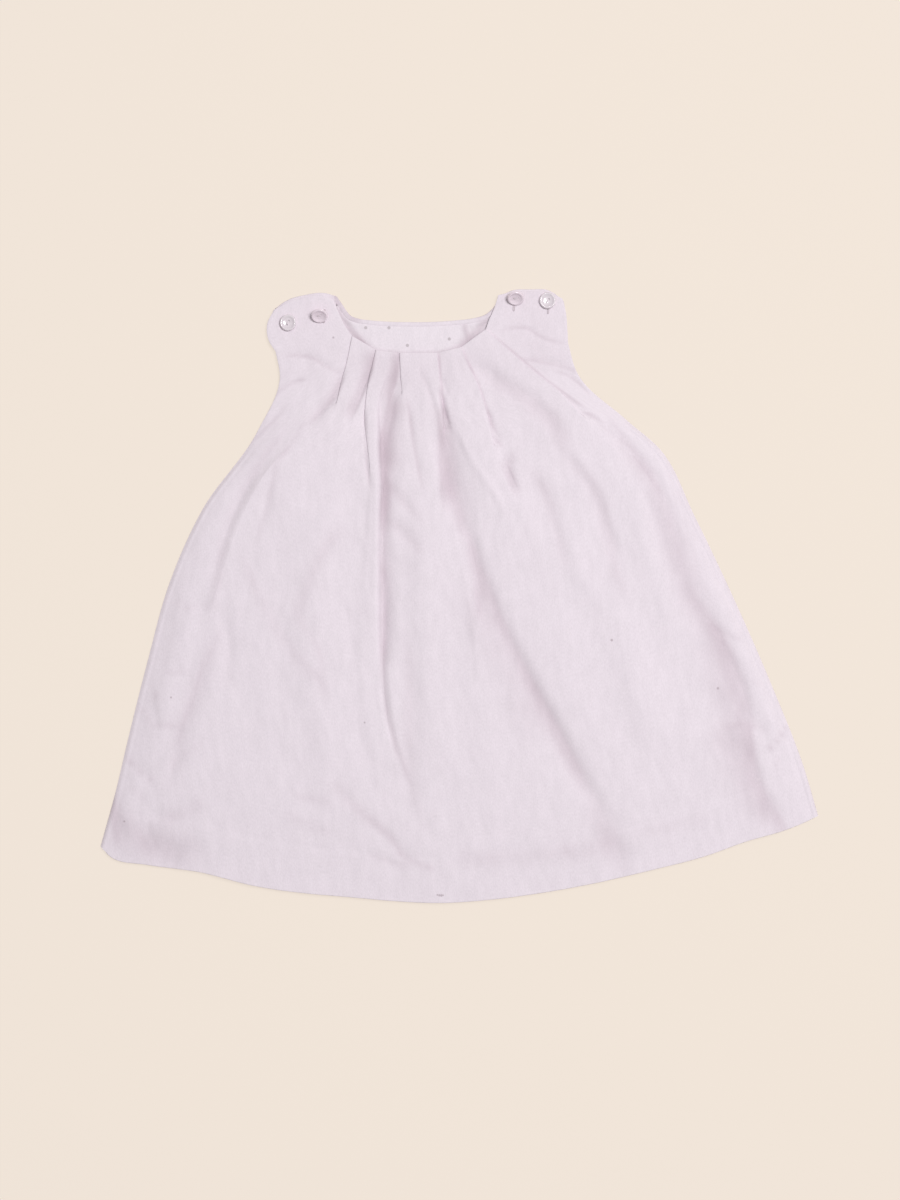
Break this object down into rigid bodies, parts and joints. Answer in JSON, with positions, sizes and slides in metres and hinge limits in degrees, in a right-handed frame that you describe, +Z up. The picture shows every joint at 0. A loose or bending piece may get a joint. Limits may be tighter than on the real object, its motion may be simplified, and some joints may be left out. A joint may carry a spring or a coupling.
{
  "type": "toddler dress laid flat",
  "caption": "Sleeveless A-line toddler dress laid flat, face up, with knife pleats at the neck and shoulder straps that button.",
  "frame": {"origin": "middle of the dress's outline, on the surface that it lies on", "axes": "+X across the dress, to the right with the neck away from the viewer; +Y from hem to neck; +Z up, out of the front"},
  "size_m": [0.5162, 0.4422, 0.0127],
  "materials": {
    "cloth": "soft matt fine-ribbed cotton, very pale lilac pink",
    "facing": "smooth matt fine cotton with small grey dots",
    "button": "pearly, satin to gloss, dished"
  },
  "bodies": {
    "root": {"front_panel": "cloth", "front_strap_left": "cloth", "front_strap_right": "cloth", "back_panel": "cloth", "back_strap_left": "cloth", "back_strap_right": "cloth", "back_neck_facing": "facing", "button_left_outer": "button", "button_left_inner": "button", "button_right_inner": "button", "button_right_outer": "button"}
  },
  "joints": []
}
